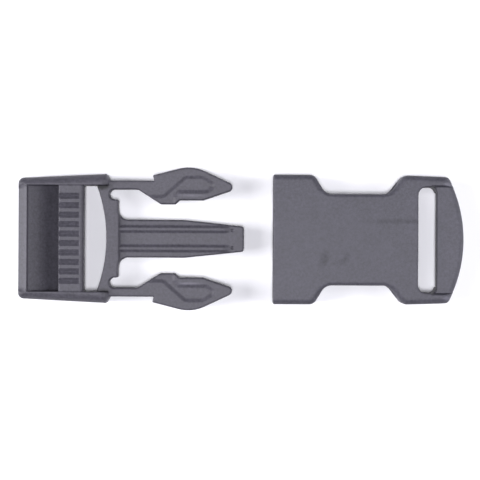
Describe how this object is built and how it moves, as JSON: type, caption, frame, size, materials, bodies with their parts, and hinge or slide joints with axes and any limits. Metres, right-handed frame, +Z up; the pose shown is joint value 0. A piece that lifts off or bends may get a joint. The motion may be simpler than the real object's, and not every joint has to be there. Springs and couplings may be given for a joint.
{
  "type": "side release buckle",
  "caption": "Two-part side release buckle for 25 mm webbing: plug with two spring arms, tongue and ribbed adjuster bar, and a hollow socket with side windows and a webbing slot.",
  "frame": {"origin": "middle of the whole length and width of the two halves as they lie apart, on the surface that they lie on", "axes": "+X from the plug to the socket, the way the plug is pushed in; +Y across the webbing, towards the left arm; +Z up, away from the surface"},
  "size_m": [0.1092, 0.0352, 0.009],
  "materials": {
    "moulded_plastic": "fine-textured dark grey moulded plastic with a slight violet cast"
  },
  "bodies": {
    "socket": {"socket": "moulded_plastic"},
    "plug": {"plug_frame": "moulded_plastic"},
    "arm_left": {"arm_left": "moulded_plastic"},
    "arm_right": {"arm_right": "moulded_plastic"}
  },
  "joints": [
    {"name": "plug_slide", "type": "slide", "parent": "socket", "child": "plug", "axis": [1, 0, 0], "range_m": [0, 0.04], "deforming": ["arm_left", "arm_right"]},
    {"name": "arm_left_squeeze", "type": "hinge", "parent": "plug", "child": "arm_left", "pos_m": [-0.0297, 0.01317, 0.0043], "axis": [0, 0, -1], "range_deg": [0, 11.5], "stiffness_Nm_per_rad": 0.5},
    {"name": "arm_right_squeeze", "type": "hinge", "parent": "plug", "child": "arm_right", "pos_m": [-0.0297, -0.01317, 0.0043], "axis": [0, 0, 1], "range_deg": [0, 11.5], "stiffness_Nm_per_rad": 0.5}
  ]
}
